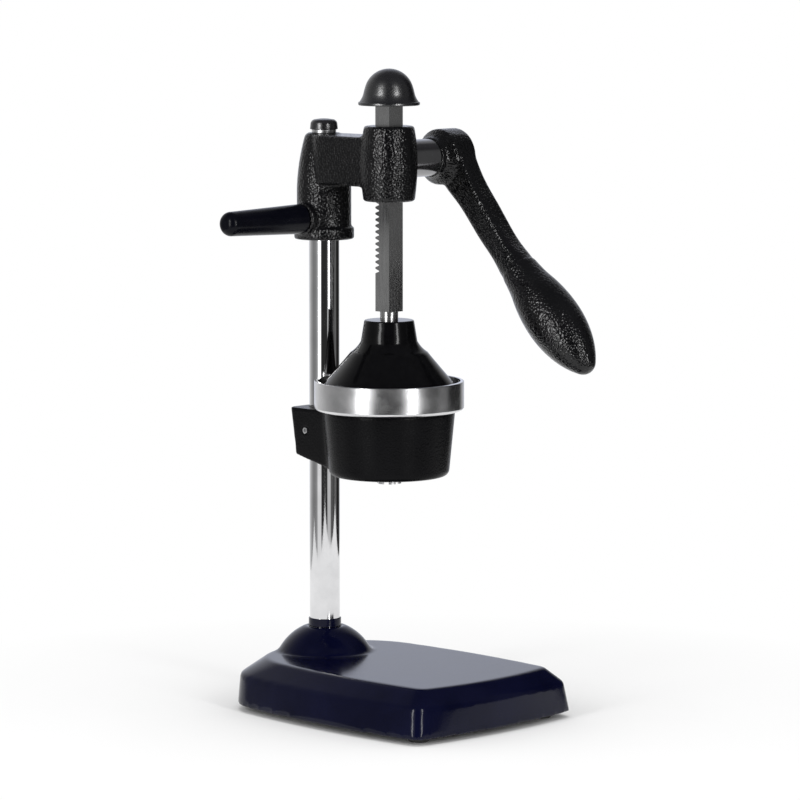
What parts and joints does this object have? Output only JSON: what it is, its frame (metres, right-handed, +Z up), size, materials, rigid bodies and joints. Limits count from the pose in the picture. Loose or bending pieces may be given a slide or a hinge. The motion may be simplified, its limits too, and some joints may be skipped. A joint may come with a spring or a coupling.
{
  "type": "lever citrus juice press",
  "caption": "Free-standing citrus press: cast base and column, bowl with strainer ring, dome on a toothed bar, worked by a bulb-ended side lever.",
  "frame": {"origin": "centre of the outline at the level of the feet", "axes": "+Z up along the column, -Y towards the user and the front of the base, +X to the lever's side"},
  "size_m": [0.227, 0.2616, 0.5352],
  "materials": {
    "base_coat": "satin black powder coat",
    "head_coat": "speckled black powder coat",
    "bowl_coat": "speckled black powder coat",
    "dome_coat": "gloss black enamel",
    "lever_coat": "speckled black powder coat",
    "tube_chrome": "mirror chrome",
    "rack_steel": "satin",
    "shaft_steel": "polished",
    "hardware_steel": "zinc plated",
    "ring_aluminium": "polished",
    "cast_aluminium": "satin",
    "bush_bronze": "turned",
    "grip_plastic": "smooth moulded",
    "knob_plastic": "smooth moulded",
    "foot_rubber": "matt"
  },
  "bodies": {
    "stand": {"base_casting": "base_coat", "rubber_feet": "foot_rubber", "feet_screws": "hardware_steel", "base_set_screw": "hardware_steel", "column_tube": "tube_chrome", "column_collar": "base_coat", "column_foot_plug": "hardware_steel", "column_foot_washer": "hardware_steel", "column_foot_bolt": "hardware_steel", "column_top_plug": "hardware_steel", "head_casting": "head_coat", "head_bolt": "hardware_steel", "cap_washer": "hardware_steel", "bolt_cap": "knob_plastic", "bowl_bracket": "bowl_coat", "bowl_set_screw": "hardware_steel", "juice_spout": "cast_aluminium", "strainer_cup": "ring_aluminium", "reamer_cone": "cast_aluminium", "pinion_bush_left": "bush_bronze", "pinion_bush_right": "bush_bronze", "shaft_grub_screw": "hardware_steel"},
    "lever": {"pinion_shaft": "shaft_steel", "lever_arm": "lever_coat", "lever_key": "shaft_steel", "lever_washer": "hardware_steel", "lever_bolt": "hardware_steel"},
    "rack": {"rack_bar": "rack_steel", "press_dome": "dome_coat", "dome_washer": "hardware_steel", "dome_nut": "hardware_steel", "top_knob": "knob_plastic", "knob_insert": "bush_bronze"},
    "clamp_stud": {"handle_stud": "hardware_steel"},
    "side_grip": {"handle_grip": "grip_plastic"}
  },
  "joints": [
    {"name": "lever_turn", "type": "hinge", "parent": "stand", "child": "lever", "pos_m": [0.08, 0.03553, 0.4585], "axis": [-1, 0, 0], "range_deg": [0, 240]},
    {"name": "rack_slide", "type": "slide", "parent": "stand", "child": "rack", "axis": [0, 0, 1], "range_m": [0, 0.06]},
    {"name": "stud_slide", "type": "slide", "parent": "stand", "child": "clamp_stud", "axis": [-1, 0, 0], "range_m": [0, 0.0015]},
    {"name": "grip_turn", "type": "hinge", "parent": "clamp_stud", "child": "side_grip", "pos_m": [-0.07, 0.09183, 0.409], "axis": [1, 0, 0], "range_deg": [0, 360]}
  ],
  "couplings": [
    {"joint": "rack_slide", "follows": "lever_turn", "m_per_rad": 0.014287},
    {"joint": "grip_turn", "follows": "stud_slide", "rad_per_m": 4188.8}
  ]
}
